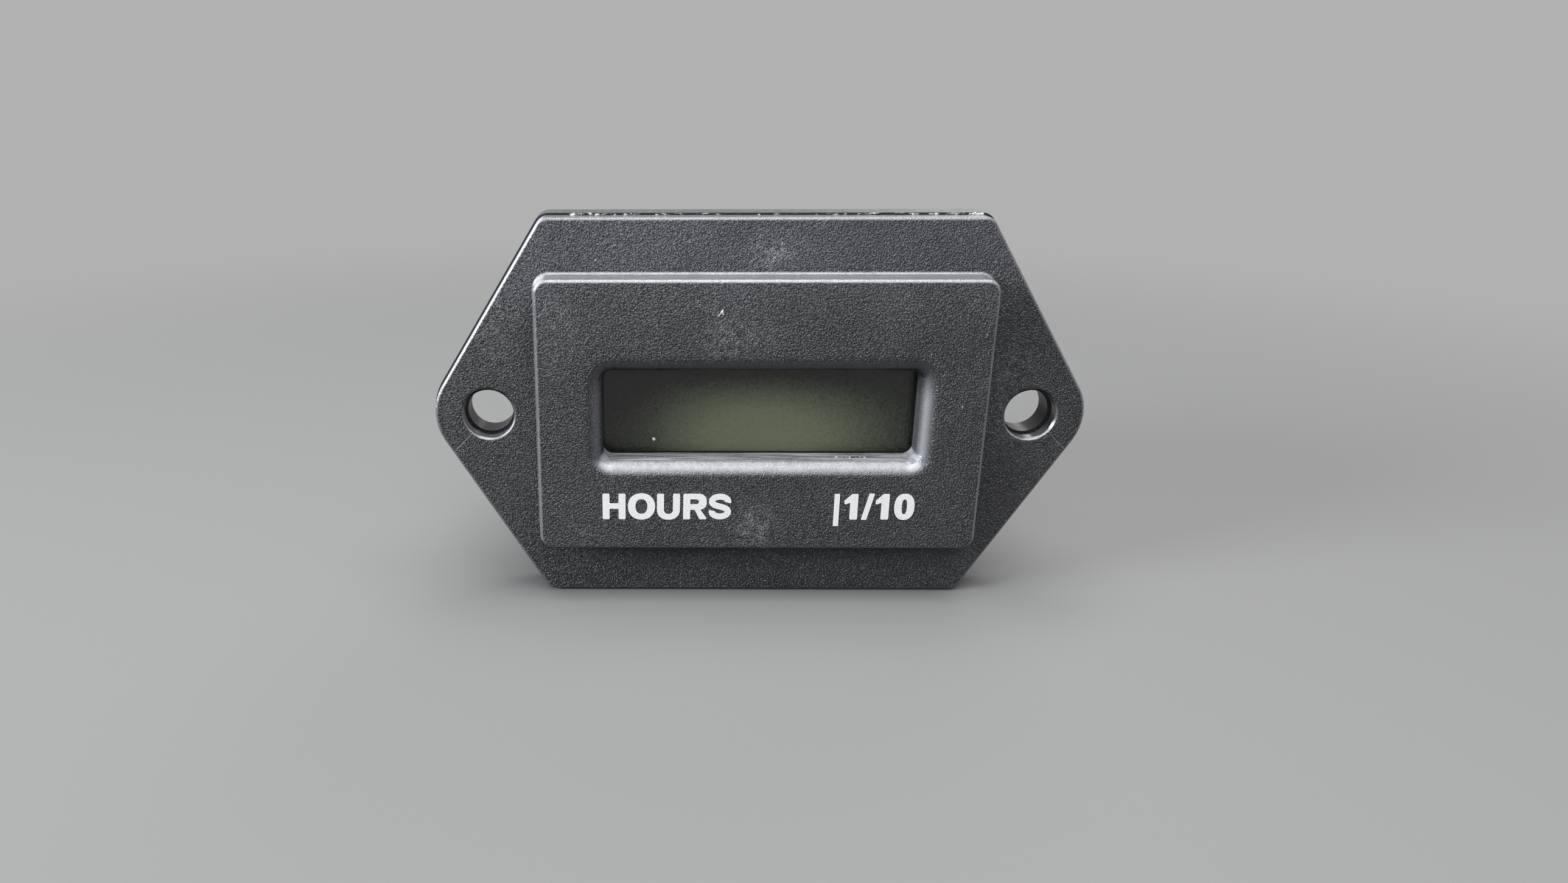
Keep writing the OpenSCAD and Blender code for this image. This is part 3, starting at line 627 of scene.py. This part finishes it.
finishes["clear_lens"] = clear_sheet("clear_lens", (0.97, 0.98, 0.96, 1.0), 1.36, 0.03)
finishes["display_glass"] = clear_sheet("display_glass", (0.86, 0.92, 0.88, 1.0), 1.52, 0.01)
print("clear sheets:", "clear_lens", "display_glass")

# %% Olive polariser and silvery film
def polariser_film():
    """Dark olive film with the faint mottle of a glued sheet, and painted light: lightest low in the
    middle, painted shade at its edges and at the foot of the window.
    """
    finish = Finish("polariser_film")
    finish.set("Specular IOR Level", 0.1)
    place = finish.millimetres()
    x, _, z = finish.split(place)
    # Painted light: lightest low in the middle and darker towards the edges, where the window frame
    # shades the film.
    middle = finish.ease(finish.from_spot(x, z, (0.2, -2.4), (15.5, 7.0)), 0.2, 1.05, 1.0, 0.0)
    mottle = finish.noise(place, 4.2, detail=4.0, roughness=0.8)
    mottle_and_painted_light = finish.math("MULTIPLY_ADD", finish.math("SUBTRACT", mottle, 0.5), 1.3, middle)
    # Painted shade: nearly black along the foot of the window wall.
    mottle_and_painted_light = finish.times(mottle_and_painted_light, finish.ease(z, window_foot - 0.2, window_foot - 0.07))
    finish.set("Base Color", finish.tint(mottle_and_painted_light, (0.004, 0.005, 0.003, 1.0), (0.09, 0.098, 0.062, 1.0)))
    finish.set("Roughness", finish.ease(mottle, 0.3, 0.7, 0.35, 0.5))
    finish.set("Normal", finish.relief(mottle, 0.003))
    return finish.material


def reflector_film():
    """Silvery green film with the fine sparkle of its metal coat."""
    finish = Finish("reflector_film", Metallic=0.85)
    place = finish.millimetres()
    sparkle = finish.noise(place, 14.0, detail=2.0)
    finish.set("Base Color", finish.tint(sparkle, (0.42, 0.46, 0.38, 1.0), (0.58, 0.62, 0.54, 1.0)))
    finish.set("Roughness", finish.ease(sparkle, 0.3, 0.7, 0.28, 0.45))
    finish.set("Normal", finish.relief(sparkle, 0.003))
    return finish.material


finishes["polariser_film"] = polariser_film()
finishes["reflector_film"] = reflector_film()
print("display films:", "polariser_film", "reflector_film")

# %% [markdown]
# ## What is inside
# Nothing inside shows through the dark film, and one plain grey would do while the meter is closed. It
# can be taken apart, though, so each piece has the finish of the real one: a white moulded holder,
# striped rubber connectors, a green board with its tracks, matt epoxy bodies, drawn metal cans and a
# dipped disc. Stripes and tracks are waves worked out in the shader, which stay sharp when seen close.

# %% Holder and rubber connectors
zebra_pitch = 0.18


def holder_plastic():
    """Satin white moulding."""
    finish = Finish("holder_plastic")
    place = finish.millimetres()
    satin = finish.noise(place, 4.0, detail=3.0)
    clouds = finish.noise(place, 0.2, detail=2.0)
    finish.set("Base Color", finish.tint(clouds, (0.76, 0.76, 0.71, 1.0), (0.84, 0.84, 0.8, 1.0)))
    finish.set("Roughness", finish.ease(satin, 0.3, 0.7, 0.45, 0.6))
    finish.set("Normal", finish.relief(satin, 0.006))
    return finish.material


def strip_rubber():
    """Silicone strip with thin dark conducting layers side by side along its length."""
    finish = Finish("strip_rubber")
    place = finish.millimetres()
    x = finish.split(place)[0]
    layers = finish.math("SINE", finish.times(x, 2 * math.pi / zebra_pitch))
    layers = finish.ease(layers, -0.3, 0.3)
    skin = finish.noise(place, 6.0, detail=3.0)
    finish.set("Base Color", finish.tint(layers, (0.05, 0.05, 0.052, 1.0), (0.62, 0.63, 0.62, 1.0)))
    finish.set("Roughness", finish.ease(skin, 0.3, 0.7, 0.6, 0.75))
    finish.set("Normal", finish.relief(finish.math("MULTIPLY_ADD", layers, 0.4, skin), 0.006))
    return finish.material


finishes["holder_plastic"] = holder_plastic()
finishes["strip_rubber"] = strip_rubber()
print("holder and connectors:", "holder_plastic", "strip_rubber")

# %% Board
track_pitch = 1.27


def board_laminate():
    """Green solder mask over raised tracks, with the bare straw-coloured laminate on the cut edges."""
    finish = Finish("board_laminate")
    place = finish.millimetres()
    low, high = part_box("circuit_board")
    middle, half = (low + high) / 2 / MM, (high - low) / 2 / MM
    x, _, z = finish.split(finish.vector("SUBTRACT", place, middle))
    bends = finish.noise(place, 0.22, detail=0.0)
    lane = finish.math("MULTIPLY_ADD", bends, 5.0, finish.math("ADD", x, z))
    lanes = finish.math("SINE", finish.times(lane, 2 * math.pi / track_pitch))
    laid = finish.ease(finish.noise(place, 0.12, detail=1.0), 0.42, 0.48)
    tracks = finish.times(finish.ease(lanes, 0.2, 0.5), laid)
    mask = finish.tint(tracks, (0.03, 0.16, 0.07, 1.0), (0.07, 0.3, 0.13, 1.0))
    to_side = finish.most(finish.math("SUBTRACT", finish.math("ABSOLUTE", x), half.x),
                          finish.math("SUBTRACT", finish.math("ABSOLUTE", z), half.z))
    cut_edge = finish.ease(to_side, -0.04, -0.01)
    finish.set("Base Color", finish.tint(cut_edge, mask, (0.5, 0.47, 0.3, 1.0)))
    finish.set("Roughness", finish.ease(cut_edge, 0.0, 1.0, 0.32, 0.7))
    finish.set("Normal", finish.relief(tracks, 0.03))
    return finish.material


finishes["board_laminate"] = board_laminate()
print("board:", "board_laminate")

# %% Chips, cans and the dipped disc
def chip_body():
    """Matt black epoxy with the fine sand of a moulded package."""
    finish = Finish("chip_body")
    place = finish.millimetres()
    sand = finish.noise(place, 12.0, detail=3.0, roughness=0.7)
    finish.set("Base Color", finish.tint(sand, (0.035, 0.035, 0.037, 1.0), (0.075, 0.075, 0.077, 1.0)))
    finish.set("Roughness", finish.ease(sand, 0.3, 0.7, 0.5, 0.7))
    finish.set("Normal", finish.relief(sand, 0.008))
    return finish.material


def can_metal():
    """Drawn metal can, with faint lines along the way it was drawn."""
    finish = Finish("can_metal", Metallic=1.0)
    along = finish.vector("MULTIPLY", finish.millimetres(), (6.0, 0.4, 6.0))
    lines = finish.noise(along, 1.5, detail=3.0, roughness=0.6)
    finish.set("Base Color", finish.tint(lines, (0.66, 0.67, 0.69, 1.0), (0.8, 0.8, 0.81, 1.0)))
    finish.set("Roughness", finish.ease(lines, 0.3, 0.7, 0.22, 0.38))
    finish.set("Normal", finish.relief(lines, 0.003))
    return finish.material


def varistor_coat():
    """Dipped blue epoxy, glossy and a little uneven."""
    finish = Finish("varistor_coat")
    finish.set("Coat Weight", 0.4)
    place = finish.millimetres()
    runs = finish.noise(place, 0.7, detail=2.0)
    finish.set("Base Color", finish.tint(runs, (0.05, 0.16, 0.4, 1.0), (0.09, 0.24, 0.52, 1.0)))
    finish.set("Roughness", finish.ease(runs, 0.3, 0.7, 0.18, 0.3))
    finish.set("Normal", finish.relief(runs, 0.08))
    return finish.material


for make in (chip_body, can_metal, varistor_coat):
    finishes[make.__name__] = make()
print("parts on the board:", "chip_body", "can_metal", "varistor_coat")

# %% [markdown]
# ## The blades
# The two terminals are stamped from brass strip and tinned. Tin is a bright grey metal that dulls in
# clouds, and pushing a connector on draws fine lines along the blade, so the roughness is streaked
# along the depth of the meter. Where the punch cut through the strip, a little brass shows.

# %% Tinned brass
def terminal_metal():
    """Bright tin on brass, streaked the way a connector slides."""
    finish = Finish("terminal_metal", Metallic=1.0)
    place = finish.millimetres()
    along = finish.vector("MULTIPLY", place, (9.0, 0.5, 9.0))
    streaks = finish.noise(along, 1.4, detail=4.0, roughness=0.65)
    clouds = finish.noise(place, 0.7, detail=3.0)
    facing_x = finish.facing()[0]
    cut = finish.ease(finish.math("ABSOLUTE", facing_x), 0.4, 0.8, 1.0, 0.0)
    cut = finish.times(cut, finish.ease(clouds, 0.35, 0.65, 0.2, 0.7))
    tin = finish.tint(clouds, (0.7, 0.69, 0.66, 1.0), (0.8, 0.79, 0.76, 1.0))
    finish.set("Base Color", finish.tint(cut, tin, (0.68, 0.5, 0.24, 1.0)))
    dulled = finish.math("MULTIPLY_ADD", streaks, 0.6, clouds)
    finish.set("Roughness", finish.ease(dulled, 0.5, 1.1, 0.2, 0.42))
    finish.set("Normal", finish.relief(streaks, 0.004))
    return finish.material


finishes["terminal_metal"] = terminal_metal()
print("blades:", "terminal_metal")

# %% [markdown]
# ## Dressing the solids
# The record names a finish for every node. A second list here could come to differ from it, so the
# record's own is followed. A solid's material slot takes the finish of that name, and its mesh is left
# as it is.

# %% Finishes onto the nodes
for part in frame["record"]["subparts"]:
    solid = frame["nodes"][part["node"]]
    for slot in solid.material_slots:
        slot.material = finishes[part["material_slot"]]
    print(part["node"], "wears", part["material_slot"])

# %% [markdown]
# ## The printed words
# White ink is pressed on the face by a soft pad: the unit at the left under the window, and the mark
# for tenths under the last digit at the right. A text object would bring a thin typeface with it, so
# the few letters are drawn as outlines of their own, in millimetres. Straight letters are polygons
# with softened corners, round ones are ovals, and the S is a pen stroke swept along two bows.

# %% Three ways to draw an outline
def softened(corners, radius):
    """A polygon whose corners are turned to arcs. A corner may bring a radius of its own."""
    outline = []
    for number, corner in enumerate(corners):
        spot = Vector(corner[:2])
        bend = corner[2] if len(corner) > 2 else radius
        back = (Vector(corners[number - 1][:2]) - spot).normalized()
        ahead = (Vector(corners[(number + 1) % len(corners)][:2]) - spot).normalized()
        half_turn = back.angle(ahead) / 2
        centre = spot + (back + ahead).normalized() * bend / math.sin(half_turn)
        first = spot + back * bend / math.tan(half_turn) - centre
        last = spot + ahead * bend / math.tan(half_turn) - centre
        steps = 3 if bend < 0.2 else 10
        outline += [centre + bend * first.slerp(last, step / steps) for step in range(steps + 1)]
    return outline


def oval(centre, width, height, fullness=2.0, steps=40):
    """An oval that is an ellipse at fullness 2 and squarer above it."""
    outline = []
    for step in range(steps):
        across, up = math.cos(2 * math.pi * step / steps), math.sin(2 * math.pi * step / steps)
        across = math.copysign(abs(across) ** (2 / fullness), across)
        up = math.copysign(abs(up) ** (2 / fullness), up)
        outline.append(Vector((centre[0] + across * width / 2, centre[1] + up * height / 2)))
    return outline


def pen_stroke(path, width):
    """The outline of a pen of one width that is drawn along a path."""
    sides = ([], [])
    for number, spot in enumerate(path):
        way = (path[min(number + 1, len(path) - 1)] - path[max(number - 1, 0)]).normalized()
        edge = Vector((-way.y, way.x)) * width / 2
        sides[0].append(spot + edge)
        sides[1].append(spot - edge)
    return sides[0] + sides[1][::-1]


print("outlines:", "softened", "oval", "pen_stroke")

# %% The letters
cap, stem, ink_corner = 2.61, 0.66, 0.11


def letter_h():
    """Two stems and a bar a little above the middle."""
    right, low, high = 2.17, 1.07, 1.62
    inner = right - stem
    upper = [(0, 0), (0, cap), (stem, cap), (stem, high), (inner, high), (inner, cap), (right, cap)]
    lower = [(right, 0), (inner, 0), (inner, low), (stem, low), (stem, 0)]
    return [softened(upper + lower, ink_corner)]


def letter_o():
    """A wide oval with a narrow eye."""
    return [oval((1.285, cap / 2), 2.57, cap + 0.08, 2.15), oval((1.285, cap / 2), 1.13, 1.5, 2.2)]


def letter_u():
    """Two stems joined by a bowl."""
    right, floor, bowl = 2.17, -0.04, 0.54
    inner = right - stem
    left_half = [(0, floor, 0.98), (0, cap), (stem, cap), (stem, bowl, 0.4)]
    right_half = [(inner, bowl, 0.4), (inner, cap), (right, cap), (right, floor, 0.98)]
    return [softened(left_half + right_half, ink_corner)]


def letter_r():
    """A stem, a bowl with a flat eye, and a leg."""
    bowl, bowl_foot, leg = 2.2, 1.0, 2.3
    body = [(0, 0), (0, cap), (bowl, cap, 0.7), (bowl, bowl_foot, 0.62), (1.62, bowl_foot, 0.03),
            (leg, 0), (1.55, 0), (1.08, 0.97, 0.06), (stem, 0.97, 0.06), (stem, 0)]
    eye = [(stem, 1.55), (stem, 2.04), (1.47, 2.04, 0.23), (1.47, 1.55, 0.23)]
    return [softened(body, ink_corner), softened(eye, 0.05)]


def letter_s():
    """A pen stroke along a bow, a slanted back, and the same bow turned upside down."""
    middle, bow, start, end = Vector((1.065, cap / 2)), (0.755, 0.485), -14, 240
    steps = 24
    turns = [math.radians(start + (end - start) * step / steps) for step in range(steps + 1)]
    upper = [middle + Vector((bow[0] * math.cos(turn), 0.53 + bow[1] * math.sin(turn))) for turn in turns]
    lower = [2 * middle - spot for spot in reversed(upper)]
    return [pen_stroke(upper + lower, 0.6)]


def bar():
    """The upright line before the tenths, which reaches below the figures."""
    return [softened([(0, -0.68), (0, cap), (0.5, cap), (0.5, -0.68)], 0.06)]


def one():
    """A stem with a slanted flag."""
    left, right = 0.55, 1.28
    flag = [(left, 1.72, 0.06), (0, 1.5), (0, 1.92), (0.7, cap)]
    return [softened([(left, 0), *flag, (right, cap), (right, 0)], ink_corner)]


def slash():
    """A slanted stroke."""
    return [softened([(0, -0.03), (0.66, cap + 0.03), (1.18, cap + 0.03), (0.52, -0.03)], 0.06)]


def nought():
    """A tall oval with a slit of an eye."""
    return [oval((0.96, cap / 2), 1.9, cap + 0.06, 2.3), oval((0.96, cap / 2), 0.48, 1.52, 2.6)]


print("letters drawn", cap, "mm tall")

# %% From outlines to ink
def white_ink():
    """Opaque white ink with a few pinholes and a soft sheen."""
    finish = Finish("white_ink")
    place = finish.millimetres()
    film = finish.noise(place, 5.0, detail=3.0, roughness=0.6)
    covered = finish.ease(film, 0.25, 0.5)
    finish.set("Base Color", finish.tint(covered, (0.7, 0.7, 0.71, 1.0), (0.88, 0.88, 0.88, 1.0)))
    finish.set("Roughness", finish.ease(film, 0.3, 0.7, 0.4, 0.55))
    finish.set("Normal", finish.relief(film, 0.006))
    return finish.material


ink, ink_film = white_ink(), 0.015


def print_legend(name, letters, left, base):
    """Lays letters on the face from the given left end and base line, as one thin film of ink."""
    curve = bpy.data.curves.new(name, "CURVE")
    curve.dimensions, curve.fill_mode, curve.extrude = "2D", "BOTH", ink_film
    for start, outlines in letters:
        for outline in outlines:
            spline = curve.splines.new("POLY")
            spline.points.add(len(outline) - 1)
            for spot, (x, y) in zip(spline.points, outline):
                spot.co = (left + start + x, base + y, 0.0, 1.0)
            spline.use_cyclic_u = True
    drawn = bpy.data.objects.new(name, curve)
    bpy.context.scene.collection.objects.link(drawn)
    mesh = bpy.data.meshes.new_from_object(drawn.evaluated_get(bpy.context.evaluated_depsgraph_get()))
    bpy.data.objects.remove(drawn)
    upright = Matrix.Translation((0, face_plane * MM, 0)) @ Matrix.Rotation(math.pi / 2, 4, "X")
    mesh.transform(upright @ Matrix.Scale(MM, 4))
    shell = bmesh.new()
    shell.from_mesh(mesh)
    bmesh.ops.remove_doubles(shell, verts=shell.verts, dist=0.0005 * MM)
    bmesh.ops.recalc_face_normals(shell, faces=shell.faces)
    shell.to_mesh(mesh)
    shell.free()
    mesh.materials.clear()
    mesh.materials.append(ink)
    legend = bpy.data.objects.new(name, mesh)
    bpy.context.scene.collection.objects.link(legend)
    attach(legend, "root")
    print(name, "has", len(mesh.polygons), "faces")


legend_base, hours_left, tenths_left = -9.64, -14.69, 7.04
hours = [(0.0, letter_h()), (2.39, letter_o()), (5.14, letter_u()), (7.62, letter_r()),
         (10.02, letter_s())]
tenths = [(0.1, bar()), (1.06, one()), (2.7, slash()), (4.0, one()), (5.76, nought())]
print_legend("legend_hours", hours, hours_left, legend_base)
print_legend("legend_tenths", tenths, tenths_left, legend_base)

# %% [markdown]
# ## Flash, crumbs and lint
# The two mouldings are welded together at the edge of the flange, and the weld squeezes out a ragged
# thread of plastic that whitens where it tears. A few crumbs of the same kind sit in the lower edge of
# the window, and a shred of lint lies on the face. Each is a handful of small, crumpled lumps. A plain
# ball would look like a bead, so every lump is stretched, turned and dented by noise from a fixed seed.

# %% Crumpled lumps
def add_lump(shell, centre, size, turn, dent, seed):
    """Adds one dented lump to a growing mesh, all in millimetres."""
    scaled = Matrix.Diagonal((*size, 1.0))
    made = bmesh.ops.create_icosphere(shell, subdivisions=2, radius=1.0)
    for vertex in made["verts"]:
        push = noise.noise(vertex.co * 1.4 + Vector((seed, 2 * seed, 3 * seed)))
        vertex.co *= 1 + dent * push
    bmesh.ops.transform(shell, verts=made["verts"],
                        matrix=Matrix.Translation(centre) @ Euler(turn).to_matrix().to_4x4() @ scaled)


def finish_piece(name, shell, material):
    """Turns a growing mesh in millimetres to a piece that rides on the meter."""
    mesh = bpy.data.meshes.new(name)
    bmesh.ops.scale(shell, vec=(MM, MM, MM), verts=shell.verts)
    shell.to_mesh(mesh)
    shell.free()
    mesh.polygons.foreach_set("use_smooth", [True] * len(mesh.polygons))
    mesh.materials.append(material)
    piece = bpy.data.objects.new(name, mesh)
    bpy.context.scene.collection.objects.link(piece)
    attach(piece, "root")
    print(name, "has", len(mesh.polygons), "faces")


def torn_plastic():
    """Black plastic, whitened where it was squeezed thin."""
    finish = Finish("torn_plastic")
    place = finish.millimetres()
    tears = finish.noise(place, 1.3, detail=4.0, roughness=0.65)
    torn_white = finish.ease(tears, 0.42, 0.62)
    finish.set("Base Color", finish.tint(torn_white, (0.06, 0.06, 0.065, 1.0), (0.78, 0.78, 0.79, 1.0)))
    finish.set("Roughness", finish.ease(tears, 0.3, 0.7, 0.3, 0.55))
    finish.set("Normal", finish.relief(tears, 0.02))
    return finish.material


def lint_white():
    """Matt fibre, almost white."""
    finish = Finish("lint_white")
    fibres = finish.noise(finish.millimetres(), 8.0, detail=3.0)
    finish.set("Base Color", finish.tint(fibres, (0.68, 0.68, 0.66, 1.0), (0.9, 0.9, 0.88, 1.0)))
    finish.set("Roughness", finish.ease(fibres, 0.3, 0.7, 0.7, 0.9))
    finish.set("Normal", finish.relief(fibres, 0.02))
    return finish.material


torn, lint = torn_plastic(), lint_white()
print("lump finishes:", torn.name, lint.name)

# %% Weld flash along the top of the flange
def weld_flash():
    """Ragged lumps in the step between the two flanges, thickest towards the corners."""
    shell = bmesh.new()
    draw = random.Random(11)
    half_run, tries = 19.6, 150
    for number in range(tries):
        x = draw.uniform(-half_run, half_run)
        corner = abs(x) / half_run
        if draw.random() > 0.25 + 0.75 * corner ** 3:
            continue
        thick = draw.uniform(0.03, 0.07) * (1 + corner ** 4)
        size = (draw.uniform(0.1, 0.45), thick, thick)
        spot = (x, joint_plane - draw.uniform(0.0, 0.06), flange_top + draw.uniform(0.02, 0.12))
        turn = (draw.uniform(0, 6.28), draw.uniform(-0.2, 0.2), draw.uniform(-0.25, 0.25))
        add_lump(shell, spot, size, turn, 0.9, number)
    finish_piece("weld_flash", shell, torn)


weld_flash()

# %% Crumbs in the window and lint on the face
def window_crumbs():
    """Crumbs on the lower lip of the window, a few strung together at the right."""
    shell = bmesh.new()
    draw = random.Random(5)
    lip_y, lip_z = face_plane + window_roll + 0.02, window_foot + 0.02
    crumbs, strung = 17, 12
    for number in range(crumbs):
        x = draw.uniform(6.4, 11.0) if number < strung else draw.uniform(-13.0, 13.0)
        size = (draw.uniform(0.06, 0.24), draw.uniform(0.04, 0.09), draw.uniform(0.03, 0.07))
        spot = (x, lip_y + draw.uniform(-0.1, 0.15), lip_z + draw.uniform(0.0, 0.03))
        add_lump(shell, spot, size, (0, 0, draw.uniform(-0.5, 0.5)), 0.8, number)
    finish_piece("window_crumbs", shell, torn)


def lint_shreds():
    """A shred with a curled tail on the face, and a round crumb on the lens."""
    shell = bmesh.new()
    shred = Vector((-3.9, face_plane - 0.04, 10.3))
    add_lump(shell, shred + Vector((0.03, 0, 0.1)), (0.12, 0.05, 0.17), (0, 0.5, 0), 0.8, 3)
    add_lump(shell, shred + Vector((0.13, 0, -0.12)), (0.05, 0.04, 0.12), (0, -0.6, 0), 0.6, 8)
    tail = [shred + Vector((-0.07 - 0.07 * step, 0.0, -0.05 - 0.08 * step)) for step in range(4)]
    for number, spot in enumerate(tail):
        add_lump(shell, spot, (0.08, 0.035, 0.035), (0, 0.7 - 0.3 * number, 0), 0.4, number + 20)
    add_lump(shell, (-9.85, lens_plane - 0.03, -2.5), (0.15, 0.06, 0.15), (0, 0, 0), 0.5, 31)
    finish_piece("lint_shreds", shell, lint)


window_crumbs()
lint_shreds()
